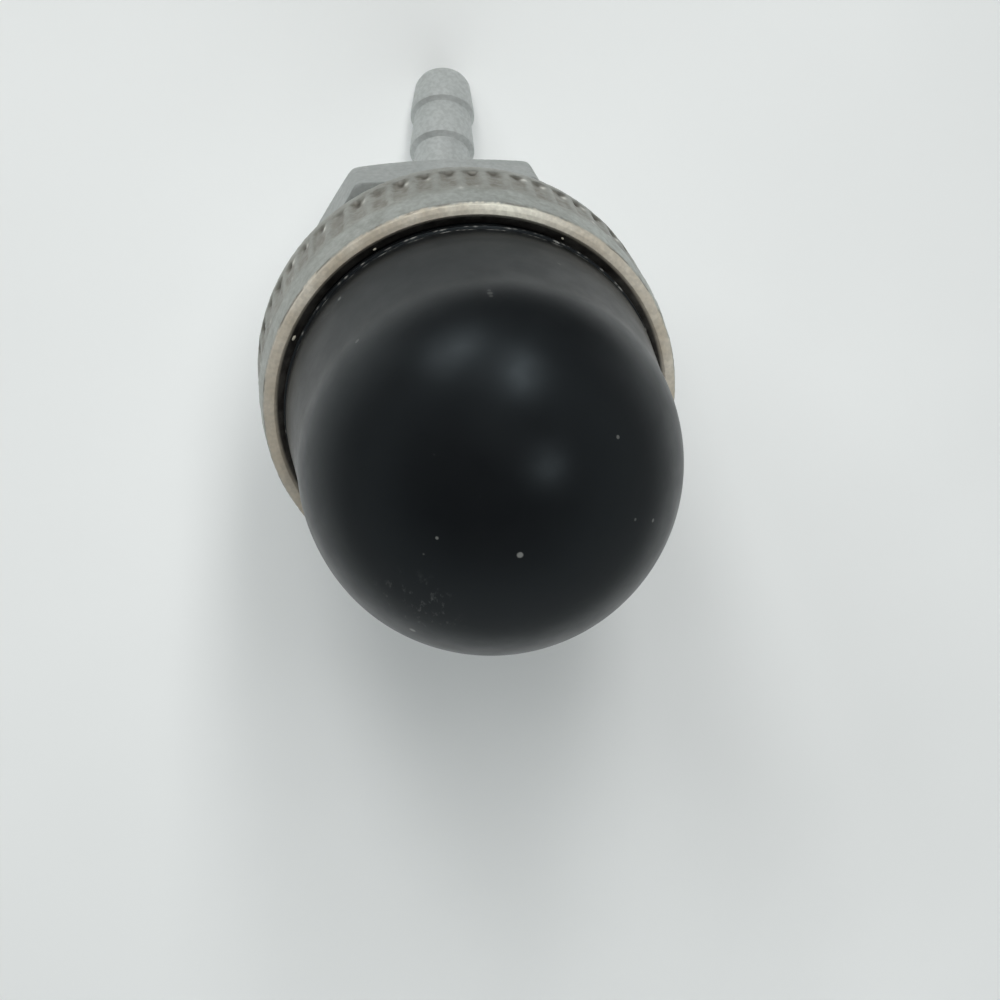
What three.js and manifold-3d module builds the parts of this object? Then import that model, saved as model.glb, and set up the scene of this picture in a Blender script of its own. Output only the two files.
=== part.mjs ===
// Primer bulb: a black rubber squeeze bulb held on a hexagonal metal body by a knurled ring nut,
// with one angled hose barb at the back of the body.
// Millimetres. +Z runs along the bulb's axis towards its dome. The origin is the centre of the
// seat on the front face of the hexagon. The barb leans towards +Y.
import * as THREE from 'three';
import { mergeVertices } from 'three/addons/utils/BufferGeometryUtils.js';
import Module from 'manifold-3d';

// ---------- driving dimensions ----------
const HEX_AF = 25.4;          // across the flats
const HEX_T = 6.0;            // thickness of the hexagon
const HEX_CLOCK = 11.7;       // degrees from the barb's plane to the nearest flat
const HEX_CHAMFER_R = 12.55;  // radius where the back corner chamfer starts
const HEX_CHAMFER_Z = 1.5;    // axial depth of that chamfer at the corners
const NECK_R = 12.2;          // plain neck between hexagon and head
const HEAD_R = 14.25;         // threaded head inside the ring nut
const HEAD_Z0 = 6.6, HEAD_Z1 = 12.8;

const RING_R = 16.0;          // over the knurl
const RING_Z0 = 7.1, RING_Z1 = 16.5;
const RING_BORE_R = 14.6;
const LIP_THROAT_R = 13.95;   // narrowest place of the lip
const LIP_MOUTH_R = 14.87;    // inner edge of the lip's front face
const LIP_FACE_R = 15.72;     // outer edge of the lip's front face
const TEETH = 56;
const KNURL_DEPTH = 0.34;
const KNURL_Z0 = 8.5, KNURL_Z1 = 13.3;

const BULB_BEAD_R = 14.3, BULB_BEAD_Z0 = 13.1, BULB_BEAD_Z1 = 14.85;
const BULB_NECK_R = 13.6;
const BULB_SKIRT_R = 14.2, BULB_SKIRT_Z = 17.5;
const DOME_R = 13.6, DOME_Z = 26.9;

const BARB_TILT = 31.7;       // degrees between the barb and the back of the axis
const BOSS_R = 4.3, BOSS_END = 8.6;      // round boss at the barb's root, measured along the barb
const STEM_R = 2.55;
const BARB_R = 2.97;
const SHOULDER_2 = 17.63, SHOULDER_1 = 22.09, BARB_TIP = 26.25;
const TIP_R = 2.42;
const BORE_R = 1.35;

const wasm = await Module();
wasm.setup();
const { Manifold, Mesh } = wasm;

const rad = (d) => d * Math.PI / 180;

// a closed solid from a three.js geometry: shared vertices merged, no slivers, faces pointing out
function toManifold(geometry) {
  geometry.deleteAttribute('normal');
  geometry.deleteAttribute('uv');
  const g = mergeVertices(geometry, 1e-4);
  const p = g.getAttribute('position').array;
  const index = g.index.array;
  const tri = [];
  let volume = 0;
  for (let k = 0; k < index.length; k += 3) {
    const [a, b, c] = [index[k], index[k + 1], index[k + 2]];
    if (a === b || b === c || c === a) continue;
    tri.push(a, b, c);
    const A = new THREE.Vector3().fromArray(p, 3 * a);
    const B = new THREE.Vector3().fromArray(p, 3 * b);
    volume += A.dot(B.cross(new THREE.Vector3().fromArray(p, 3 * c)));
  }
  if (volume < 0) for (let k = 0; k < tri.length; k += 3) [tri[k], tri[k + 1]] = [tri[k + 1], tri[k]];
  return new Manifold(new Mesh({
    numProp: 3,
    vertProperties: new Float32Array(p),
    triVerts: new Uint32Array(tri),
  }));
}

function toGeometry(manifold) {
  const mesh = manifold.getMesh();
  const g = new THREE.BufferGeometry();
  g.setAttribute('position', new THREE.BufferAttribute(new Float32Array(mesh.vertProperties), 3));
  g.setIndex(new THREE.BufferAttribute(new Uint32Array(mesh.triVerts), 1));
  const flat = g.toNonIndexed();
  flat.computeVertexNormals();
  return flat;
}

// profile holds [radius, z]; it starts and ends on the axis or closes on itself
function lathe(profile, segments) {
  const points = profile.map(([r, z]) => new THREE.Vector2(r, z));
  return new THREE.LatheGeometry(points, segments);
}

const upright = (geometry) => geometry.rotateX(Math.PI / 2); // the lathe's axis becomes +Z
const revolve = (profile, segments) => upright(lathe(profile, segments));

function arc(cr, cz, radius, a0, a1, steps, skipFirst = false) {
  const out = [];
  for (let i = skipFirst ? 1 : 0; i <= steps; i++) {
    const a = rad(a0 + (a1 - a0) * i / steps);
    out.push([cr + radius * Math.cos(a), cz + radius * Math.sin(a)]);
  }
  return out;
}

// ---------- body: hexagon, neck, threaded head, root boss and barb, one casting ----------
function makeBody() {
  const shape = new THREE.Shape();
  for (let i = 0; i < 6; i++) {
    const a = rad(90 + HEX_CLOCK + 30 + 60 * i);
    const R = HEX_AF / 2 / Math.cos(Math.PI / 6);
    if (i === 0) shape.moveTo(R * Math.cos(a), R * Math.sin(a));
    else shape.lineTo(R * Math.cos(a), R * Math.sin(a));
  }
  shape.closePath();
  const prism = new THREE.ExtrudeGeometry(shape, { depth: HEX_T, bevelEnabled: false, steps: 1 });
  prism.translate(0, 0, -HEX_T);
  const corner = HEX_AF / 2 / Math.cos(Math.PI / 6);
  const envelope = revolve([
    [0, -HEX_T], [HEX_CHAMFER_R, -HEX_T], [corner + 0.02, -HEX_T + HEX_CHAMFER_Z],
    [corner + 0.02, -0.35], [corner - 0.4, 0], [0, 0],
  ], 72);
  let body = toManifold(prism).intersect(toManifold(envelope));

  const head = [[0, -1], [NECK_R, -1], [NECK_R, HEAD_Z0], [HEAD_R - 0.4, HEAD_Z0]];
  head.push([HEAD_R, HEAD_Z0 + 0.4], [HEAD_R, HEAD_Z1 - 0.4], [HEAD_R - 0.4, HEAD_Z1], [0, HEAD_Z1]);
  body = body.add(toManifold(revolve(head, 72)));

  // low round pad on the back of the hexagon, under the boss
  const pad = revolve([
    [0, -HEX_T + 1], [7.6, -HEX_T + 1], [7.6, -HEX_T - 0.5], ...arc(6.4, -HEX_T - 0.5, 1.2, 0, -90, 3, true), [0, -HEX_T - 1.7],
  ].reverse(), 48);
  body = body.add(toManifold(pad));

  // barb, first along +Z from its root, then leaned over
  const barb = [
    [0, -2.0], [BOSS_R, -2.0], [BOSS_R, BOSS_END - 0.8], ...arc(BOSS_R - 0.8, BOSS_END - 0.8, 0.8, 0, 90, 3, true),
    [STEM_R + 0.5, BOSS_END], [STEM_R + 0.15, BOSS_END + 0.15], [STEM_R, BOSS_END + 0.5],
    [STEM_R, SHOULDER_2 - 0.42], [BARB_R - 0.06, SHOULDER_2 - 0.05], [BARB_R, SHOULDER_2 + 0.05],
    [BARB_R, SHOULDER_2 + 0.3], [STEM_R + 0.1, SHOULDER_1 - 0.55],
    [STEM_R + 0.08, SHOULDER_1 - 0.42], [BARB_R - 0.06, SHOULDER_1 - 0.05], [BARB_R, SHOULDER_1 + 0.05],
    [BARB_R, SHOULDER_1 + 0.3], [TIP_R + 0.14, BARB_TIP - 0.7],
    ...arc(TIP_R - 0.5, BARB_TIP - 0.55, 0.55, 10, 90, 4), [0, BARB_TIP],
  ];
  const lean = new THREE.Matrix4().makeRotationX(rad(180 + BARB_TILT)); // +Z to the back, towards +Y
  const place = new THREE.Matrix4().makeTranslation(0, 0, -HEX_T).multiply(lean);
  const barbG = revolve(barb, 40).applyMatrix4(place);
  body = body.add(toManifold(barbG));

  // bore: along the barb to the axis, then straight up to the head's front face
  const bore = revolve([[0, -1.0], [BORE_R, -1.0], [BORE_R, BARB_TIP - 0.3], [BORE_R + 0.35, BARB_TIP + 0.05], [BORE_R + 0.35, BARB_TIP + 1], [0, BARB_TIP + 1]], 24).applyMatrix4(place);
  const well = revolve([[0, -HEX_T - 1.2], [1.9, -HEX_T - 0.2], [1.9, HEAD_Z1 + 1], [0, HEAD_Z1 + 1]], 24);
  body = body.subtract(toManifold(bore)).subtract(toManifold(well));
  return toGeometry(body);
}

// ---------- ring nut ----------
function makeRing() {
  const per = 3, N = TEETH * per;   // crest start, crest end and valley of each tooth
  const p = [
    [RING_BORE_R + 0.35, RING_Z0], [RING_R - 0.55, RING_Z0],
    [RING_R - 0.12, RING_Z0 + 0.35], [RING_R - 0.05, KNURL_Z0 - 0.35],
    [RING_R, KNURL_Z0 + 0.25],
    [RING_R, KNURL_Z1 - 0.25],
    [RING_R - 0.05, KNURL_Z1 + 0.35],
    [RING_R - 0.2, RING_Z1 - 0.75], [LIP_FACE_R + 0.03, RING_Z1 - 0.25], [LIP_FACE_R - 0.12, RING_Z1 - 0.03],
    [LIP_MOUTH_R + 0.15, RING_Z1], [LIP_MOUTH_R - 0.02, RING_Z1 - 0.12],
    [LIP_THROAT_R, RING_Z1 - 1.05], [LIP_THROAT_R, RING_Z1 - 1.35],
    [RING_BORE_R, RING_Z1 - 1.36], [RING_BORE_R, RING_Z0 + 0.35],
    [RING_BORE_R + 0.35, RING_Z0],
  ];
  const g = lathe(p, N);
  const pos = g.getAttribute('position');
  for (let i = 0; i <= N; i++) {
    if (i % per !== 2) continue;
    for (const j of [4, 5]) {           // the two rows of the profile that bound the knurl
      const k = i * p.length + j;
      const q = (RING_R - KNURL_DEPTH) / RING_R;
      pos.setXYZ(k, pos.getX(k) * q, pos.getY(k), pos.getZ(k) * q);
    }
  }
  return toGeometry(toManifold(upright(g)));
}

// ---------- rubber bulb: bead, groove, skirt and dome, one moulding ----------
function makeBulb() {
  const p = [[0, BULB_BEAD_Z0], [BULB_BEAD_R - 0.5, BULB_BEAD_Z0],
    ...arc(BULB_BEAD_R - 0.5, BULB_BEAD_Z0 + 0.5, 0.5, -90, 0, 2, true),
    ...arc(BULB_BEAD_R - 0.4, BULB_BEAD_Z1 - 0.4, 0.4, 0, 90, 2),
    [BULB_NECK_R + 0.15, BULB_BEAD_Z1 + 0.02], [BULB_NECK_R, BULB_BEAD_Z1 + 0.2],
    [BULB_NECK_R, RING_Z1 - 0.75], [BULB_NECK_R + 0.1, RING_Z1 - 0.3], [BULB_SKIRT_R - 0.28, RING_Z1 + 0.05],
    [BULB_SKIRT_R - 0.08, RING_Z1 + 0.45], [BULB_SKIRT_R, BULB_SKIRT_Z], [BULB_SKIRT_R - 0.08, BULB_SKIRT_Z + 1.6]];
  const steps = 4;
  for (let i = 1; i < steps; i++) {
    const t = i / steps;
    const z0 = BULB_SKIRT_Z + 1.6;
    const zz = z0 + (DOME_Z - z0) * t;
    p.push([BULB_SKIRT_R - 0.08 + (DOME_R - BULB_SKIRT_R + 0.08) * (t * (2 - t)), zz]);
  }
  p.push(...arc(0, DOME_Z, DOME_R, 0, 85, 15), [0, DOME_Z + DOME_R]);
  return toGeometry(toManifold(revolve(p, 60)));
}

const metal = new THREE.MeshStandardMaterial({ name: 'cast_body', color: 0x9a9d9c, roughness: 0.55, metalness: 0.7 });
const plated = new THREE.MeshStandardMaterial({ name: 'ring_nut', color: 0x9b9a92, roughness: 0.5, metalness: 0.75 });
const rubber = new THREE.MeshStandardMaterial({ name: 'bulb_rubber', color: 0x15181b, roughness: 0.45, metalness: 0 });

const group = new THREE.Group();
group.name = 'primer_bulb';
for (const [name, geometry, material] of [
  ['body', makeBody(), metal],
  ['ring_nut', makeRing(), plated],
  ['bulb', makeBulb(), rubber],
]) {
  const mesh = new THREE.Mesh(geometry, material);
  mesh.name = name;
  group.add(mesh);
}
export default group;
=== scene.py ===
import math

import bmesh
import bpy
import numpy as np
from mathutils import Matrix, Vector


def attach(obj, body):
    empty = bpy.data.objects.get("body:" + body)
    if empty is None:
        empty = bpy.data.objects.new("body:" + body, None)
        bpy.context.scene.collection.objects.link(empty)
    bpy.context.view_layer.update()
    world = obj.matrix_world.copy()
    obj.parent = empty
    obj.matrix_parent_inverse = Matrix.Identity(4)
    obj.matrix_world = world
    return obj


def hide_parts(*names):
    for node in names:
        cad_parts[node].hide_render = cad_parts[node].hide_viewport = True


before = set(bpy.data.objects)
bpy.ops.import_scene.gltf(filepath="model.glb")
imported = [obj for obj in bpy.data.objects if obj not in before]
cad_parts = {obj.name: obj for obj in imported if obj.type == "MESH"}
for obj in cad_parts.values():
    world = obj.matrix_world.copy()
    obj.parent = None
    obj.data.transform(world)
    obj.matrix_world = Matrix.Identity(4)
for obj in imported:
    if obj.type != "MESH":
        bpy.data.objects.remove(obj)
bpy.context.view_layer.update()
MM = 0.001
rng = np.random.default_rng(7)


# ------------------------------------------------------------------ helpers
def make_object(name, verts_mm, faces, attributes=None):
    mesh = bpy.data.meshes.new(name)
    mesh.from_pydata((np.asarray(verts_mm, float) * MM).tolist(), [], faces)
    mesh.update()
    for key, values in (attributes or {}).items():
        layer = mesh.attributes.new(key, "FLOAT", "POINT")
        layer.data.foreach_set("value", np.asarray(values, np.float32))
    mesh.polygons.foreach_set("use_smooth", np.ones(len(mesh.polygons), bool))
    obj = bpy.data.objects.new(name, mesh)
    bpy.context.scene.collection.objects.link(obj)
    return obj


def grid_faces(rows, cols, close_rows):
    """Quads of a grid that is closed round its columns, faces outwards for an outside profile going up."""
    faces = []
    r_end = rows if close_rows else rows - 1
    for k in range(r_end):
        a, b = k * cols, ((k + 1) % rows) * cols
        for i in range(cols):
            j = (i + 1) % cols
            faces.append((a + i, a + j, b + j, b + i))
    return faces


def lathe(name, profile, cols, radius=None, closed=False, attributes=None, height=None):
    """profile: [(r, z)] in mm, from the bottom of the axis round the outside to the top of the axis, or closed on itself.
    radius(k, theta, r, z) and height(k, theta, r, z) may vary a row round the axis."""
    prof = np.asarray(profile, float)
    theta = np.arange(cols) / cols * 2 * math.pi
    verts, rows = [], []
    start_pole = end_pole = None
    body = prof
    if not closed:
        if prof[0, 0] < 1e-6:
            start_pole, body = prof[0], body[1:]
        if prof[-1, 0] < 1e-6:
            end_pole, body = prof[-1], body[:-1]
    for k, (r, z) in enumerate(body):
        rr = np.full(cols, r) if radius is None else radius(k, theta, r, z)
        zz = np.full(cols, z) if height is None else height(k, theta, r, z)
        rows.append(np.stack([rr * np.cos(theta), rr * np.sin(theta), zz], 1))
    verts = np.concatenate(rows)
    faces = grid_faces(len(body), cols, closed)
    if start_pole is not None:
        verts = np.vstack([verts, [0, 0, start_pole[1]]])
        p = len(verts) - 1
        faces += [(p, (i + 1) % cols, i) for i in range(cols)]
    if end_pole is not None:
        verts = np.vstack([verts, [0, 0, end_pole[1]]])
        p = len(verts) - 1
        base = (len(body) - 1) * cols
        faces += [(base + i, base + (i + 1) % cols, p) for i in range(cols)]
    return make_object(name, verts, faces, attributes(verts) if attributes else None)


def smoothstep(a, b, x):
    t = np.clip((x - a) / (b - a), 0, 1)
    return t * t * (3 - 2 * t)


def fillet_path(points, default=0.1, steps=5):
    """Rounds the corners of a polyline of (r, z[, radius]) points; the ends stay."""
    pts = [tuple(p) for p in points]
    out = [pts[0][:2]]
    for k in range(1, len(pts) - 1):
        p0, p1, p2 = (np.array(pts[k - 1][:2], float), np.array(pts[k][:2], float), np.array(pts[k + 1][:2], float))
        rad = pts[k][2] if len(pts[k]) > 2 else default
        a, b = p0 - p1, p2 - p1
        la, lb = np.linalg.norm(a), np.linalg.norm(b)
        if rad <= 0 or la < 1e-9 or lb < 1e-9:
            out.append(tuple(p1))
            continue
        a, b = a / la, b / lb
        ang = math.acos(max(-1, min(1, float(a @ b))))
        if ang > math.pi - 0.02:
            out.append(tuple(p1))
            continue
        cut = min(rad / math.tan(ang / 2), la * 0.45, lb * 0.45)
        s, e = p1 + a * cut, p1 + b * cut
        for i in range(steps + 1):
            t = i / steps
            out.append(tuple((1 - t) ** 2 * s + 2 * t * (1 - t) * p1 + t * t * e))
    out.append(pts[-1][:2])
    return out


def densify(path, step):
    out = [path[0]]
    for a, b in zip(path[:-1], path[1:]):
        n = max(1, int(math.ceil(math.hypot(b[0] - a[0], b[1] - a[1]) / step)))
        for i in range(1, n + 1):
            t = i / n
            out.append((a[0] + (b[0] - a[0]) * t, a[1] + (b[1] - a[1]) * t))
    return out


def wave(theta, seed, lo, hi, count=14):
    """A smooth closed random curve round the axis, about -1..1."""
    r = np.random.default_rng(seed)
    out = np.zeros_like(theta)
    for _ in range(count):
        n = int(r.integers(lo, hi + 1))
        out = out + r.normal() * np.cos(n * theta + r.uniform(0, 2 * math.pi))
    return out / math.sqrt(count / 2) / 1.6


def baked(obj, name):
    """The object's mesh with its modifiers applied, as a new object."""
    dg = bpy.context.evaluated_depsgraph_get()
    mesh = bpy.data.meshes.new_from_object(obj.evaluated_get(dg))
    mesh.name = name
    new = bpy.data.objects.new(name, mesh)
    bpy.context.scene.collection.objects.link(new)
    return new


def boolean(obj, others, operation):
    for o in others:
        m = obj.modifiers.new("b", "BOOLEAN")
        m.solver = "EXACT"
        m.operation = operation
        m.object = o
    new = baked(obj, obj.name + "_x")
    for o in [obj, *others]:
        bpy.data.objects.remove(o)
    return new


# ------------------------------------------------------------------ body casting
HEX_AF, HEX_T, HEX_CLOCK = 25.4, 6.0, 11.7
BARB_TILT = 31.7


def make_body():
    cols = 480
    th = np.arange(cols) / cols * 2 * math.pi
    flats = [math.radians(90 + HEX_CLOCK + 60 * i) for i in range(6)]
    p = 70
    total = sum(np.maximum(0, np.cos(th - f)) ** p for f in flats)
    r_hex = (HEX_AF / 2) / total ** (1 / p)

    def softmin(a, b, k):
        h = np.clip(0.5 + 0.5 * (b - a) / k, 0, 1)
        return b * (1 - h) + a * h - k * h * (1 - h)

    rows = []
    # round pad on the back of the hexagon, under the barb
    for r, z in densify(fillet_path([(0, -7.7), (7.6, -7.7, 1.2), (7.6, -6.0, 0.25), (8.6, -6.0)], steps=8), 1.6)[1:]:
        rows.append((np.full(cols, r), z))
    rows.append((np.full(cols, 10.4), -6.0))
    # the hexagon's flanks, both faces chamfered to a cone
    zs = np.concatenate([np.linspace(-6, -5.6, 7), np.linspace(-5.5, -4.2, 12), np.linspace(-3.9, -0.8, 6), np.linspace(-0.55, 0, 9)])
    for z in zs:
        back = 12.55 + (z + 6.0) * (14.68 - 12.55) / 1.5
        front = 14.68 + (0 - z) * 1.2 - 0.35
        rr = softmin(softmin(r_hex, np.full(cols, back), 0.12), np.full(cols, front), 0.12)
        edge = 0.16
        for e in ((z + 6.0), (0 - z)):
            if e < edge:
                rr = rr - edge * (1 - math.sqrt(max(0.0, 1 - (1 - e / edge) ** 2)))
        rows.append((rr, z))
    # neck and threaded head
    path = [(12.42, 0.0), (12.2, 0.0, 0.12), (12.2, 6.3, 0.25), (12.5, 6.6, 0.1), (13.85, 6.6, 0.15), (14.2, 6.95, 0.05)]
    z = 7.1
    while z + 0.9 < 12.3:
        path += [(14.22, z), (14.22, z + 0.12), (13.86, z + 0.34), (13.86, z + 0.42), (14.22, z + 0.66)]
        z += 0.8
    path += [(14.22, 12.3), (13.8, 12.8, 0.1), (11.0, 12.8)]
    for r, z in densify(fillet_path(path, default=0.0, steps=3), 2.2):
        rows.append((np.full(cols, r), z))
    verts = np.concatenate([np.stack([r * np.cos(th), r * np.sin(th), np.full(cols, z)], 1) for r, z in rows])
    faces = grid_faces(len(rows), cols, False)
    verts = np.vstack([verts, [0, 0, -7.7], [0, 0, 12.8]])
    a, b = len(verts) - 2, len(verts) - 1
    base = (len(rows) - 1) * cols
    faces += [(a, (i + 1) % cols, i) for i in range(cols)]
    faces += [(base + i, base + (i + 1) % cols, b) for i in range(cols)]
    casting = make_object("casting", verts, faces)

    # hose barb: two shoulders, a round boss at its root; drawn along +Z, then leaned over
    s2, s1, tip = 17.63, 22.09, 26.25
    out = fillet_path([
        (0, -1.9), (4.3, -1.9), (4.3, 8.6, 0.7), (3.0, 8.6, 0.3), (2.55, 9.4, 0.4),
        (2.55, s2 - 0.42, 0.08), (2.97, s2 - 0.02, 0.1), (2.97, s2 + 0.32, 0.15),
        (2.64, s1 - 0.42, 0.08), (2.97, s1 - 0.02, 0.1), (2.97, s1 + 0.32, 0.2),
        (2.58, tip - 0.62, 0.3), (2.30, tip, 0.35), (0, tip),
    ], default=0.05, steps=6)
    barb = lathe("barb", densify(out, 0.7), 160)
    lean = Matrix.Translation((0, 0, -HEX_T * MM)) @ Matrix.Rotation(math.radians(180 + BARB_TILT), 4, "X")
    barb.data.transform(lean)
    bore = lathe("bore", [(0, 0.4), (1.35, 0.4), (1.35, tip - 0.32), (1.43, tip - 0.22), (1.62, tip - 0.06), (1.85, tip + 0.02), (2.2, tip + 0.5), (0, tip + 0.5)], 96)
    bore.data.transform(lean)
    well = lathe("well", [(0, -7.2), (1.9, -6.2), (1.9, 13.4), (0, 13.4)], 96)
    body = boolean(casting, [barb], "UNION")
    body = boolean(body, [bore, well], "DIFFERENCE")
    body.name = body.data.name = "body_casting"
    bm = bmesh.new()
    bm.from_mesh(body.data)
    bmesh.ops.dissolve_degenerate(bm, dist=2e-7, edges=bm.edges)
    print("BODY", len(bm.faces), "open edges", sum(1 for e in bm.edges if not e.is_manifold))
    bm.to_mesh(body.data)
    bm.free()
    body.data.polygons.foreach_set("use_smooth", np.ones(len(body.data.polygons), bool))
    body.data.set_sharp_from_angle(angle=math.radians(32))
    return body


# ------------------------------------------------------------------ knurled ring nut
TEETH, PHASE = 56, math.radians(2.295)


def make_ring():
    per = 16
    cols = TEETH * per
    th = np.arange(cols) / cols * 2 * math.pi
    pitch = 2 * math.pi / TEETH
    tooth = np.floor((th - PHASE) / pitch + 0.5).astype(int) % TEETH
    phase = ((th - PHASE) / pitch + 0.5) % 1.0 - 0.5          # 0 in the middle of a pocket
    r = np.random.default_rng(11)
    depth_t = r.uniform(0.35, 1.0, TEETH)
    len_t = r.uniform(-0.9, 0.9, TEETH)
    skew_t = r.uniform(-0.35, 0.35, TEETH)
    back_t = r.uniform(-0.12, 0.12, TEETH)

    outline = [
        (14.95, 7.1), (15.42, 7.1, 0.12), (15.9, 7.5, 0.25), (16.0, 8.3), (16.0, 13.4), (15.93, 14.4),
        (15.79, 16.02, 0.1), (15.74, 16.16, 0.03), (15.70, 16.20, 0.03), (15.66, 16.40, 0.14), (15.3, 16.5, 0.2),
        (14.93, 16.5, 0.10), (14.85, 16.38, 0.08), (13.98, 15.45, 0.1), (13.98, 15.16, 0.05), (14.6, 15.14, 0.02),
    ]
    outline += [(14.6, 7.45), (14.95, 7.1)]
    path = fillet_path(outline, default=0.05, steps=3)[:-1]
    fine = [path[0]]
    for q0, q1 in zip(path[:-1], path[1:]):
        seen = 0.5 * (q0[0] + q1[0]) > 15.4 and 7.6 < 0.5 * (q0[1] + q1[1]) < 16.4
        fine += densify([q0, q1], 0.17 if seen else 0.9)[1:]
    path = fine
    path = [q for i, q in enumerate(path) if i == 0 or math.hypot(q[0] - path[i - 1][0], q[1] - path[i - 1][1]) > 0.012]

    dents = wave(th, 3, 5, 60, 40)
    dents2 = wave(th, 5, 20, 160, 60)
    notch_c = r.uniform(-0.10, 0.10, TEETH)
    notch_w = r.uniform(0.15, 0.24, TEETH)
    notch_d = r.uniform(0.45, 1.0, TEETH)
    tick_a = np.where(r.uniform(0, 1, TEETH) < 0.62, r.uniform(0.5, 1.0, TEETH), 0.0)
    tick_p = r.uniform(-0.30, -0.14, TEETH)
    tick_z = r.uniform(-0.10, 0.35, TEETH)
    tick2_a = np.where(r.uniform(0, 1, TEETH) < 0.40, r.uniform(0.3, 0.8, TEETH), 0.0)
    tick2_z = r.uniform(12.2, 13.9, TEETH)
    tick2_p = r.uniform(-0.35, 0.35, TEETH)

    def slanted(z):
        return phase - (0.035 + 0.05 * skew_t[tooth]) * (z - 9.0)

    def recess(z):
        """The broad shallow hollow of each knurl cut."""
        zz = z + back_t[tooth] * 0.5
        span = smoothstep(8.86, 9.04, zz) * (1 - smoothstep(12.5 + len_t[tooth] * 0.7, 13.8 + len_t[tooth] * 0.25, z))
        return span * smoothstep(0.45, 0.22 + 0.06 * skew_t[tooth], np.abs(slanted(z)))

    def notch(z):
        """The deep start of each cut, against the plain band behind it."""
        zz = z + back_t[tooth] * 0.5
        span = smoothstep(8.90, 9.00, zz) * (1 - smoothstep(9.15, 10.7 + 0.5 * len_t[tooth], z))
        return span * np.clip(1 - ((slanted(z) - notch_c[tooth]) / notch_w[tooth]) ** 2, 0, 1) * notch_d[tooth]

    def tick(z):
        """Burrs beside the cuts; the ring's material paints them near white as a painted highlight."""
        one = tick_a[tooth] * np.exp(-((z - 9.55 - tick_z[tooth]) / 0.40) ** 2 - ((phase - tick_p[tooth]) / 0.11) ** 2)
        two = tick2_a[tooth] * np.exp(-((z - tick2_z[tooth]) / 0.30) ** 2 - ((phase - tick2_p[tooth]) / 0.09) ** 2)
        return np.maximum(one, two)

    def radius(k, theta, rr, z):
        out = np.full(cols, rr)
        if rr > 15.4 and 7.3 < z < 16.3:
            out = out - 0.17 * depth_t[tooth] * recess(z) - 0.20 * notch(z) + 0.06 * tick(z)
            out = out + 0.012 * dents * smoothstep(7.3, 8, z) + 0.008 * dents2 + 0.008 * wave(theta, 100 + int(z * 12), 10, 220, 30)
            out = np.minimum(out, 16.04)
        elif rr > 15.5:
            out = out + 0.010 * dents2
        return out

    def attributes(v):
        rad = np.hypot(v[:, 0], v[:, 1])
        zz = v[:, 2]
        n = len(v) // cols
        thv = np.tile(th, n)
        pk, wall, bright = np.zeros(len(v)), np.zeros(len(v)), np.zeros(len(v))
        for k in range(n):
            s = slice(k * cols, (k + 1) * cols)
            z0 = float(zz[s][0])
            if rad[s].mean() > 15.4 and 7.3 < z0 < 16.3:
                pk[s], wall[s], bright[s] = recess(z0), notch(z0), tick(z0)
        jag = wave(thv, 21, 30, 260, 60) * 0.045 + wave(thv, 22, 4, 24, 14) * 0.04
        lip = smoothstep(16.06, 16.24, zz + jag) * smoothstep(14.6, 14.8, rad)
        line = np.exp(-((zz - 16.16 - jag * 0.5) / 0.05) ** 2) * (rad > 15.6) * smoothstep(-0.2, 0.7, wave(thv, 31, 3, 40, 30))
        band = smoothstep(13.2, 14.2, zz + 0.4 * wave(thv, 33, 3, 30, 20)) * (rad > 15.5)
        # painted highlight round the lip's +Y side, where it faces the light
        gleam = np.exp(-((np.degrees(thv) - 92 - 3 * wave(thv, 35, 20, 90, 20)) / 13.0) ** 2) * 0.9
        return {"pocket": pk, "wall": wall, "tick": bright, "lip": lip, "line": line, "band": band, "gleam": gleam}

    ring = lathe("ring_nut_knurled", path, cols, radius=radius, closed=True, attributes=attributes)
    return ring


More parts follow.
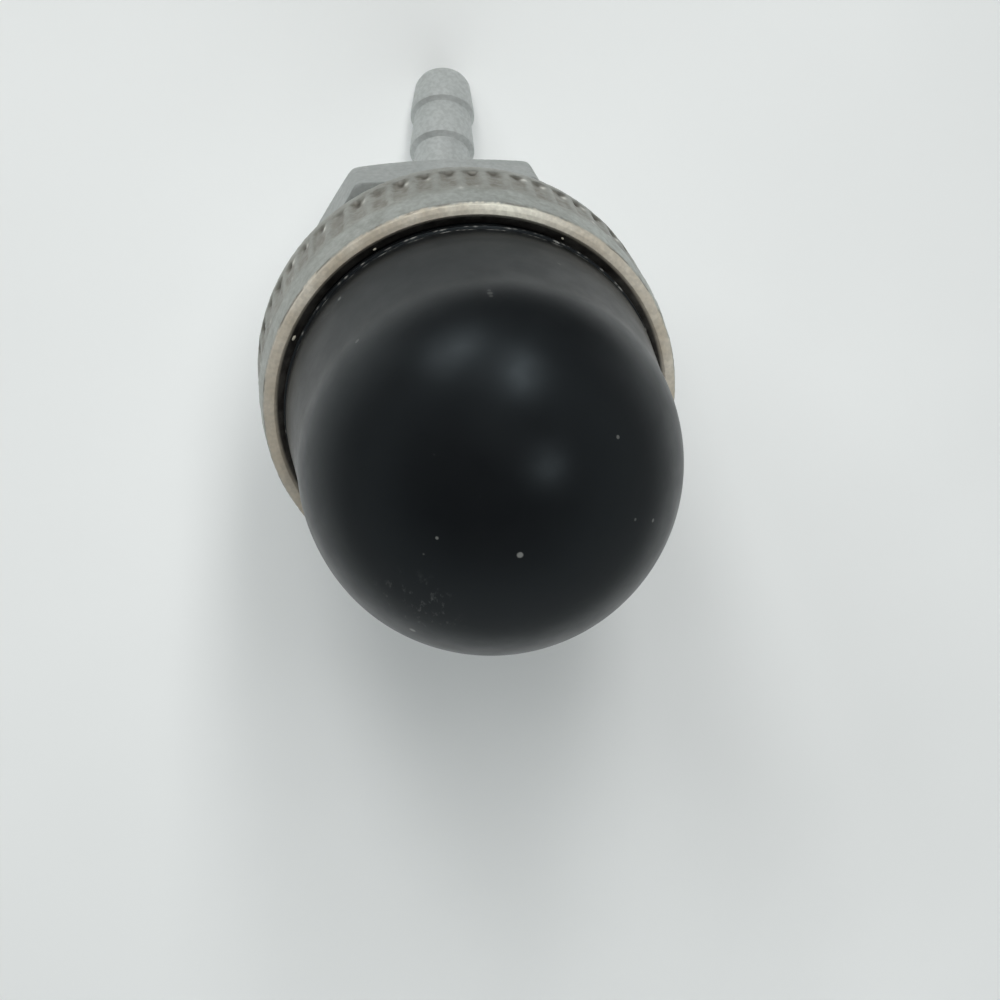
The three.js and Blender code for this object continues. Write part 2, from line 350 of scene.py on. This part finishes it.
# ------------------------------------------------------------------ rubber bulb
def make_bulb():
    cols = 400
    path = [(0, 13.1), (14.3, 13.1, 0.45), (14.3, 14.85, 0.35), (13.62, 14.88, 0.12), (13.62, 15.75, 0.2),
            (13.75, 16.2, 0.2), (14.05, 16.42, 0.12), (14.24, 16.62, 0.1), (14.24, 17.06, 0.07), (14.10, 17.16, 0.06)]
    path = fillet_path(path, default=0.05, steps=3)
    z = np.linspace(17.26, 26.9, 32)
    z = np.concatenate([np.arange(17.26, 17.70, 0.035), z[z > 17.72]])
    t = (z - 17.26) / (26.9 - 17.26)
    rr = 14.10 + 0.05 * np.sin(np.clip(t * 4, 0, 1) * math.pi) + (13.6 - 14.10) * (t * t * (3 - 2 * t)) ** 0.9
    path += list(zip(rr, z))
    a = np.radians(np.linspace(0, 89.0, 60))[1:]
    path += list(zip(13.6 * np.cos(a), 26.9 + 13.6 * np.sin(a)))
    path += [(0, 40.5)]
    dense = [path[0]]
    for p, q in zip(path[:-1], path[1:]):
        step = 0.036 if 16.5 < 0.5 * (p[1] + q[1]) < 17.75 else 1.2
        dense += densify([p, q], step)[1:]
    path = dense

    wobble = [wave(np.arange(cols) / cols * 2 * math.pi, s, 2, 7, 6) for s in (41, 42)]

    def radius(k, theta, r, z):
        f = smoothstep(16.6, 19, z) * (1 - smoothstep(30, 36, z))
        return r + f * (0.020 * wobble[0] * np.cos((z - 17) * 0.5) + 0.015 * wobble[1] * np.sin((z - 17) * 0.5)) - 0.0

    def attributes(v):
        zz = v[:, 2]
        th = np.arctan2(v[:, 1], v[:, 0])
        seen = smoothstep(0.3, 0.9, np.sin(th + 0.1)) * 0.55
        n1 = wave(th, 51, 12, 70, 40)
        n2 = wave(th, 52, 60, 190, 60)
        dash = smoothstep(0.45, 1.0, n1 * 0.6 + n2 * 0.75 + seen)
        dz = 17.42 + 0.07 * wave(th, 53, 3, 20, 12)
        band = 0.85 * np.exp(-((zz - dz) / 0.045) ** 2)
        n3 = wave(th, 54, 14, 80, 40)
        n4 = wave(th, 55, 80, 200, 60)
        dash2 = smoothstep(0.7, 1.2, n3 * 0.6 + n4 * 0.75 + seen)
        band2 = 0.6 * np.exp(-((zz - 17.02 - 0.05 * n3) / 0.04) ** 2)
        return {"residue": np.clip(dash * band + 0.75 * dash2 * band2, 0, 1),
                "collar": smoothstep(17.25, 17.08, zz)}

    return lathe("bulb_rubber_moulding", path, cols, radius=radius, attributes=attributes)


def make_flakes():
    """Small pale chips caught in the gap between the lip and the rubber."""
    r = np.random.default_rng(5)
    verts, faces = [], []
    # angle in degrees, radius, height, length, width
    for ang, rad, z, length, width in [(167.0, 14.50, 16.42, 0.50, 0.26), (131.0, 14.42, 16.36, 0.26, 0.14), (74.0, 14.45, 16.36, 0.22, 0.12), (300.0, 14.45, 16.36, 0.35, 0.2), (222.0, 14.44, 16.36, 0.3, 0.18)]:
        c, s = math.cos(math.radians(ang)), math.sin(math.radians(ang))
        centre = np.array([rad * c, rad * s, z])
        along, out, up = np.array([-s, c, 0]), np.array([c, s, 0.25]), np.array([-0.25 * c, -0.25 * s, 1])
        n = 9
        base = len(verts)
        ring_pts = []
        for i in range(n):
            a = 2 * math.pi * i / n
            q = r.uniform(0.72, 1.08)
            ring_pts.append(centre + along * (length / 2 * math.cos(a) * q) + out * (width / 2 * math.sin(a) * q))
        for p in ring_pts:
            verts.append(p + up * 0.05)
        for p in ring_pts:
            verts.append(p - up * 0.05)
        verts += [centre + up * 0.085, centre - up * 0.06]
        t, b = base + 2 * n, base + 2 * n + 1
        for i in range(n):
            j = (i + 1) % n
            faces += [(base + j, base + i, t), (base + n + i, base + n + j, b), (base + j, base + n + j, base + n + i, base + i)]
    return make_object("gap_flakes", verts, faces)


body = make_body()
ring = make_ring()
bulb = make_bulb()
flakes = make_flakes()


# ------------------------------------------------------------------ materials
class Nodes:
    def __init__(self, name):
        self.mat = bpy.data.materials.new(name)
        self.mat.use_nodes = True
        self.t = self.mat.node_tree
        self.t.nodes.clear()
        self.out = self.t.nodes.new("ShaderNodeOutputMaterial")
        self.p = self.t.nodes.new("ShaderNodeBsdfPrincipled")
        self.t.links.new(self.p.outputs["BSDF"], self.out.inputs["Surface"])
        self.geo = self.t.nodes.new("ShaderNodeTexCoord").outputs["Object"]

    def node(self, kind, **values):
        n = self.t.nodes.new(kind)
        for k, v in values.items():
            setattr(n, k, v)
        return n

    def link(self, a, b):
        self.t.links.new(a, b)

    def noise(self, scale, detail=4.0, rough=0.55, stretch=None, offset=(0, 0, 0)):
        m = self.node("ShaderNodeMapping")
        m.inputs["Scale"].default_value = stretch or (1, 1, 1)
        m.inputs["Location"].default_value = offset
        self.link(self.geo, m.inputs["Vector"])
        n = self.node("ShaderNodeTexNoise")
        n.inputs["Scale"].default_value = scale
        n.inputs["Detail"].default_value = detail
        n.inputs["Roughness"].default_value = rough
        self.link(m.outputs["Vector"], n.inputs["Vector"])
        return n.outputs["Fac"]

    def voronoi(self, scale, feature="F1"):
        n = self.node("ShaderNodeTexVoronoi", feature=feature)
        n.inputs["Scale"].default_value = scale
        self.link(self.geo, n.inputs["Vector"])
        return n

    def ramp(self, fac, lo, hi, a=0.0, b=1.0):
        n = self.node("ShaderNodeMapRange", interpolation_type="SMOOTHSTEP")
        n.inputs["From Min"].default_value = lo
        n.inputs["From Max"].default_value = hi
        n.inputs["To Min"].default_value = a
        n.inputs["To Max"].default_value = b
        self.link(fac, n.inputs["Value"])
        return n.outputs["Result"]

    def math(self, op, a, b=None):
        n = self.node("ShaderNodeMath", operation=op)
        for k, v in enumerate((a, b)):
            if v is None:
                continue
            if isinstance(v, (int, float)):
                n.inputs[k].default_value = v
            else:
                self.link(v, n.inputs[k])
        return n.outputs[0]

    def mix(self, fac, a, b):
        n = self.node("ShaderNodeMix", data_type="RGBA")
        for key, v in (("A", a), ("B", b)):
            sock = [s for s in n.inputs if s.name == key and s.type == "RGBA"][0]
            if isinstance(v, tuple):
                sock.default_value = (*v, 1)
            else:
                self.link(v, sock)
        if isinstance(fac, (int, float)):
            n.inputs["Factor"].default_value = fac
        else:
            self.link(fac, n.inputs["Factor"])
        return [s for s in n.outputs if s.type == "RGBA"][0]

    def attribute(self, name):
        n = self.node("ShaderNodeAttribute", attribute_name=name, attribute_type="GEOMETRY")
        return n.outputs["Fac"]

    def xyz(self):
        n = self.node("ShaderNodeSeparateXYZ")
        self.link(self.geo, n.inputs[0])
        return n.outputs

    def bump(self, height, strength, distance_mm, previous=None):
        n = self.node("ShaderNodeBump")
        n.inputs["Strength"].default_value = strength
        n.inputs["Distance"].default_value = distance_mm * MM
        self.link(height, n.inputs["Height"])
        if previous is not None:
            self.link(previous, n.inputs["Normal"])
        return n.outputs["Normal"]


def body_material():
    m = Nodes("cast_grey_metal")
    big = m.noise(130, 3)
    fine = m.noise(1500, 3)
    spots = m.ramp(m.noise(520, 4, 0.6), 0.60, 0.74)
    col = m.mix(m.ramp(big, 0.3, 0.72), (0.42, 0.44, 0.43), (0.51, 0.53, 0.52))
    col = m.mix(m.math("MULTIPLY", spots, 0.30), col, (0.30, 0.30, 0.28))
    z = m.xyz()[2]
    # painted highlight: the pad and barb are painted lighter than the hexagon below z -6.8 mm, and lighter still near
    # the barb's root
    col = m.mix(m.ramp(z, -0.0085, -0.0068, 0.40, 0.0), col, (0.60, 0.63, 0.625))
    col = m.mix(m.math("MULTIPLY", m.ramp(z, -0.017, -0.010), m.ramp(z, -0.0085, -0.0068, 0.70, 0.0)), col, (0.80, 0.84, 0.83))
    col = m.mix(m.ramp(m.noise(2600, 2, 0.5), 0.35, 0.65, 0.0, 0.24), col, (0.25, 0.26, 0.255))
    m.link(col, m.p.inputs["Base Color"])
    m.p.inputs["Metallic"].default_value = 0.60
    m.link(m.ramp(fine, 0.3, 0.7, 0.44, 0.56), m.p.inputs["Roughness"])
    n = m.bump(fine, 0.35, 0.03)
    n = m.bump(big, 0.25, 0.10, n)
    m.link(n, m.p.inputs["Normal"])
    return m.mat


def ring_material():
    m = Nodes("worn_plated_ring")
    big = m.noise(160, 4, 0.6)
    mid = m.noise(700, 5, 0.65)
    fine = m.noise(2400, 3)
    pocket, wall, lip, line, tick, band, gleam = (m.attribute(a) for a in ("pocket", "wall", "lip", "line", "tick", "band", "gleam"))
    base = m.mix(m.ramp(big, 0.32, 0.68), (0.35, 0.355, 0.325), (0.43, 0.435, 0.40))
    base = m.mix(m.math("MULTIPLY", m.ramp(mid, 0.50, 0.70), 0.45), base, (0.25, 0.23, 0.19))
    base = m.mix(m.math("MULTIPLY", pocket, m.ramp(mid, 0.38, 0.60, 0.80, 0.20)), base, (0.225, 0.205, 0.165))
    base = m.mix(m.math("MULTIPLY", band, 0.85), base, m.mix(m.ramp(mid, 0.40, 0.66), (0.56, 0.59, 0.56), (0.45, 0.47, 0.44)))
    x = m.xyz()
    # painted shade: the ring is painted darker towards -X
    base = m.mix(m.ramp(x[0], -0.015, -0.006, 0.30, 0.0), base, (0.25, 0.245, 0.215))
    # brassy lip, with a painted highlight on its +Y side where it faces the light, and darker towards -Y
    tan = m.mix(m.ramp(m.noise(260, 4, 0.6, offset=(3, 1, 2)), 0.3, 0.7), (0.56, 0.50, 0.40), (0.76, 0.715, 0.62))
    tan = m.mix(m.math("MULTIPLY", m.ramp(x[1], -0.004, 0.008, 1.0, 0.0), 0.5), tan, (0.34, 0.30, 0.24))
    tan = m.mix(gleam, tan, (0.97, 0.96, 0.84))
    col = m.mix(lip, base, tan)
    col = m.mix(m.ramp(m.noise(2600, 2, 0.5), 0.35, 0.65, 0.0, 0.20), col, (0.20, 0.195, 0.175))
    # painted shade: the deep start of each cut is painted near black, together with the dirty line at the lip's outer
    # edge
    notch_shade_and_edge_dirt = m.math("MAXIMUM", m.math("MULTIPLY", wall, m.ramp(mid, 0.25, 0.55, 0.70, 0.95)), m.math("MULTIPLY", line, 0.7))
    col = m.mix(m.math("MINIMUM", notch_shade_and_edge_dirt, 1.0), col, (0.050, 0.040, 0.030))
    # painted highlight on the burrs beside the cuts
    col = m.mix(tick, col, (0.92, 0.92, 0.86))
    # inside of the mouth, thread and throat: painted shade, near black
    radial = m.node("ShaderNodeVectorMath", operation="LENGTH")
    flat = m.node("ShaderNodeVectorMath", operation="MULTIPLY")
    flat.inputs[1].default_value = (1, 1, 0)
    m.link(m.geo, flat.inputs[0])
    m.link(flat.outputs["Vector"], radial.inputs[0])
    inside = m.ramp(radial.outputs["Value"], 0.01462, 0.01486, 1.0, 0.0)
    inside_painted_shade = m.math("MULTIPLY", inside, m.ramp(mid, 0.2, 0.7, 0.80, 1.0))
    col = m.mix(inside_painted_shade, col, (0.018, 0.016, 0.015))
    m.link(col, m.p.inputs["Base Color"])
    metal = m.math("MULTIPLY", m.math("SUBTRACT", 0.75, m.math("MULTIPLY", lip, 0.5)), m.math("SUBTRACT", 1.0, m.math("MULTIPLY", m.math("MAXIMUM", notch_shade_and_edge_dirt, inside_painted_shade), 0.9)))
    m.link(metal, m.p.inputs["Metallic"])
    rough = m.math("ADD", m.ramp(fine, 0.3, 0.7, 0.40, 0.50), m.math("MULTIPLY", inside_painted_shade, 0.35))
    m.link(rough, m.p.inputs["Roughness"])
    n = m.bump(mid, 0.45, 0.05)
    n = m.bump(fine, 0.30, 0.02, n)
    m.link(n, m.p.inputs["Normal"])
    return m.mat


# dust specks on the rubber: place in mm, radius in mm, strength
SPECKS = [
    ((-3.04, 13.10, 28.96), 0.24, 0.13), ((-3.02, 13.06, 29.35), 0.18, 0.10), ((-3.05, 13.16, 28.56), 0.16, 0.09), ((0.11, -0.15, 40.50), 0.26, 0.38),
    ((5.61, 7.36, 36.86), 0.17, 0.24), ((-5.22, -0.18, 39.46), 0.14, 0.28), ((-11.01, 7.94, 27.72), 0.22, 0.22),
    ((-11.64, 7.77, 19.31), 0.22, 0.35), ((2.93, 13.69, 21.58), 0.25, 0.16), ((7.90, 2.10, 37.80), 0.14, 0.2),
]


def rubber_material():
    m = Nodes("black_rubber")
    big = m.noise(90, 3)
    mid = m.noise(420, 4, 0.6)
    fine = m.noise(3200, 2)
    residue, collar = m.attribute("residue"), m.attribute("collar")
    col = m.mix(m.ramp(big, 0.3, 0.7), (0.0050, 0.0058, 0.0068), (0.0072, 0.0080, 0.0090))
    # a few specks of dust and short scuffs
    v = m.voronoi(210)
    speck = m.ramp(v.outputs["Distance"], 0.045, 0.075, 1.0, 0.0)
    pick = m.node("ShaderNodeSeparateColor")
    m.link(v.outputs["Color"], pick.inputs[0])
    speck = m.math("MULTIPLY", speck, m.ramp(pick.outputs[0], 0.90, 0.91))
    v2 = m.voronoi(620)
    pick2 = m.node("ShaderNodeSeparateColor")
    m.link(v2.outputs["Color"], pick2.inputs[0])
    fine_speck = m.math("MULTIPLY", m.ramp(v2.outputs["Distance"], 0.06, 0.11, 1.0, 0.0), m.ramp(pick2.outputs[1], 0.955, 0.96))
    scuff = m.math("MULTIPLY", m.ramp(m.noise(900, 3, 0.7, stretch=(1, 1, 0.35)), 0.70, 0.80), m.ramp(big, 0.55, 0.66, 0.0, 0.35))
    dust = m.math("MAXIMUM", m.math("MAXIMUM", m.math("MULTIPLY", speck, 0.55), m.math("MULTIPLY", fine_speck, 0.35)), m.math("MULTIPLY", scuff, 0.25))
    marks = None
    for p, size, strength in SPECKS:
        d = m.node("ShaderNodeVectorMath", operation="DISTANCE")
        d.inputs[1].default_value = [c * MM for c in p]
        m.link(m.geo, d.inputs[0])
        spot = m.ramp(d.outputs["Value"], size * 0.55 * MM, size * MM, strength, 0.0)
        marks = spot if marks is None else m.math("MAXIMUM", marks, spot)
    patch = m.node("ShaderNodeVectorMath", operation="DISTANCE")
    patch.inputs[1].default_value = (-0.0053, -0.0064, 0.0377)
    m.link(m.geo, patch.inputs[0])
    rubbed = m.math("MULTIPLY", m.ramp(patch.outputs["Value"], 0.0012, 0.0040, 1.0, 0.0), m.ramp(m.noise(1500, 3, 0.7, stretch=(1, 0.45, 1)), 0.56, 0.70, 0.0, 0.13))
    dust = m.math("MAXIMUM", m.math("MAXIMUM", dust, marks), rubbed)
    col = m.mix(dust, col, (0.42, 0.43, 0.41))
    col = m.mix(residue, col, (0.60, 0.60, 0.56))
    m.link(col, m.p.inputs["Base Color"])
    m.p.inputs["Specular IOR Level"].default_value = 0.30
    m.p.inputs["Specular Tint"].default_value = (0.78, 0.93, 1.0, 1.0)
    rough = m.math("ADD", m.ramp(mid, 0.3, 0.7, 0.33, 0.39), m.math("MULTIPLY", m.math("MAXIMUM", dust, residue), 0.4))
    m.link(rough, m.p.inputs["Roughness"])
    n = m.bump(fine, 0.12, 0.012)
    n = m.bump(mid, 0.16, 0.03, n)
    m.link(n, m.p.inputs["Normal"])
    return m.mat


def flake_material():
    m = Nodes("pale_flake")
    m.link(m.mix(m.noise(900, 3), (0.30, 0.285, 0.23), (0.46, 0.44, 0.37)), m.p.inputs["Base Color"])
    m.p.inputs["Roughness"].default_value = 0.7
    return m.mat


for obj, mat, node, slot in ((body, body_material(), "body", "body_metal"), (ring, ring_material(), "ring_nut", "ring_plating"), (bulb, rubber_material(), "bulb", "bulb_rubber")):
    obj.data.materials.clear()
    obj.data.materials.append(mat)
    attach(obj, "root")
    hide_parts(node)
flakes.data.materials.append(flake_material())
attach(flakes, "root")


# ------------------------------------------------------------------ floor, light, camera
FLOOR_Z = -0.0300
bpy.ops.mesh.primitive_plane_add(size=8.0, location=(0, 0, FLOOR_Z))
floor = bpy.context.object
floor.name = "floor"
fm = Nodes("pale_floor")
fm.p.inputs["Roughness"].default_value = 0.75
fm.p.inputs["Specular IOR Level"].default_value = 0.25
pale = fm.mix(fm.ramp(fm.noise(14, 3), 0.3, 0.7), (0.80, 0.82, 0.82), (0.83, 0.85, 0.85))
# painted shade: the floor's colour darkens from 10 to 25 cm away from the object
away = fm.node("ShaderNodeVectorMath", operation="DISTANCE")
away.inputs[1].default_value = (0.020, -0.040, 0.0)
fm.link(fm.geo, away.inputs[0])
fm.link(fm.mix(fm.ramp(away.outputs["Value"], 0.10, 0.25), pale, (0.62, 0.63, 0.63)), fm.p.inputs["Base Color"])
floor.data.materials.append(fm.mat)

# a dark card beyond the top of the picture: only the rubber's sheen sees it
bpy.ops.mesh.primitive_plane_add(size=0.001, location=(0.005, 0.105, FLOOR_Z + 0.002))
card = bpy.context.object
card.name = "dark_card"
card.scale = (170.0, 110.0, 1.0)
card.visible_camera = False
card.visible_diffuse = False
card.visible_shadow = False
cm = Nodes("dark_card")
cm.p.inputs["Base Color"].default_value = (0.06, 0.065, 0.07, 1.0)
cm.p.inputs["Roughness"].default_value = 0.9
card.data.materials.append(cm.mat)

CAM = Vector((-0.0259477, 0.0502111, 0.141029))
cam_data = bpy.data.cameras.new("camera")
cam_data.sensor_width = 36.0
cam_data.lens = 64.83
cam_data.clip_start, cam_data.clip_end = 0.01, 50
camera = bpy.data.objects.new("camera", cam_data)
bpy.context.scene.collection.objects.link(camera)
right = Vector((0.969611, 0.202698, 0.137000))
up = Vector((-0.12329, 0.888502, -0.442000))
back = Vector((-0.211317, 0.411677, 0.886491))
camera.matrix_world = Matrix((
    (right.x, up.x, back.x, CAM.x),
    (right.y, up.y, back.y, CAM.y),
    (right.z, up.z, back.z, CAM.z),
    (0, 0, 0, 1),
))
bpy.context.scene.camera = camera


def area_light(name, direction, distance, size, watts, colour=(1, 1, 1), target=(0, 0, 0.01), size_y=None, spin=0.0, glossy=True, diffuse=True):
    data = bpy.data.lights.new(name, "AREA")
    data.shape = "RECTANGLE"
    data.size = size
    data.size_y = size_y or size
    data.energy = watts
    data.color = colour
    obj = bpy.data.objects.new(name, data)
    d = Vector(direction).normalized()
    obj.location = Vector(target) + d * distance
    obj.rotation_mode = "QUATERNION"
    obj.rotation_quaternion = d.to_track_quat("Z", "Y") @ Matrix.Rotation(spin, 3, "Z").to_quaternion()
    obj.visible_camera = False
    obj.visible_glossy = glossy
    obj.visible_diffuse = diffuse
    bpy.context.scene.collection.objects.link(obj)
    return obj


def even(light, strength):
    """Lets a near lamp light the floor evenly: its strength doesn't fall with distance."""
    light.data.use_nodes = True
    t = light.data.node_tree
    emission = [n for n in t.nodes if n.type == "EMISSION"][0]
    falloff = t.nodes.new("ShaderNodeLightFalloff")
    falloff.inputs["Strength"].default_value = strength
    t.links.new(falloff.outputs["Constant"], emission.inputs["Strength"])


key = area_light("key", (-0.115, 0.655, 0.74), 0.165, 0.022, 1.0, (1.0, 0.995, 0.98), target=(0, 0, 0.014), size_y=0.10, glossy=False)
even(key, 4.2)
key_two = area_light("key_two", (-0.33, 0.63, 0.70), 0.175, 0.025, 1.0, (1.0, 0.995, 0.98), target=(0, 0, 0.014), size_y=0.10, glossy=False)
even(key_two, 2.9)
side = area_light("side", (-0.565, 0.543, 0.621), 0.24, 0.05, 1.0, (0.97, 1.0, 1.0), target=(0, 0, 0.014), size_y=0.05, glossy=False)
even(side, 1.0)
area_light("front_fill", (0.25, -0.82, 0.51), 0.35, 0.45, 0.56, (0.97, 1.0, 1.0), glossy=False)
# soft window glints on the dome
area_light("glint_a", (-0.458, 0.878, -0.142), 0.15, 0.070, 0.034, target=(-0.0055, 0.0105, 0.0336), size_y=0.030, spin=0.35, diffuse=False)
area_light("glint_b", (0.034, 0.980, 0.197), 0.20, 0.034, 0.062, target=(-0.0014, 0.0104, 0.0356), size_y=0.075, diffuse=False)
area_light("glint_c", (0.357, 0.421, 0.834), 0.30, 0.045, 0.060, target=(0.0009, 0.0058, 0.0392), diffuse=False)

world = bpy.data.worlds.new("world")
bpy.context.scene.world = world
world.use_nodes = True
wt = world.node_tree
wt.nodes.clear()
wo = wt.nodes.new("ShaderNodeOutputWorld")
bg = wt.nodes.new("ShaderNodeBackground")
tc = wt.nodes.new("ShaderNodeTexCoord")
dot = wt.nodes.new("ShaderNodeVectorMath")
dot.operation = "DOT_PRODUCT"
dot.inputs[1].default_value = (-0.17, 0.25, 0.95)
wt.links.new(tc.outputs["Generated"], dot.inputs[0])
mr = wt.nodes.new("ShaderNodeMapRange")
mr.interpolation_type = "SMOOTHSTEP"
mr.inputs["From Min"].default_value = 0.30
mr.inputs["From Max"].default_value = 0.85
mr.inputs["To Min"].default_value = 0.385
mr.inputs["To Max"].default_value = 0.035
wt.links.new(dot.outputs["Value"], mr.inputs["Value"])
bg.inputs["Color"].default_value = (0.96, 1.0, 1.0, 1)
wt.links.new(mr.outputs["Result"], bg.inputs["Strength"])
wt.links.new(bg.outputs["Background"], wo.inputs["Surface"])

bpy.context.scene.view_settings.view_transform = "Standard"
bpy.context.scene.view_settings.look = "None"
bpy.context.scene.view_settings.exposure = 0.0
bpy.context.scene.view_settings.gamma = 1.0

bpy.context.view_layer.update()
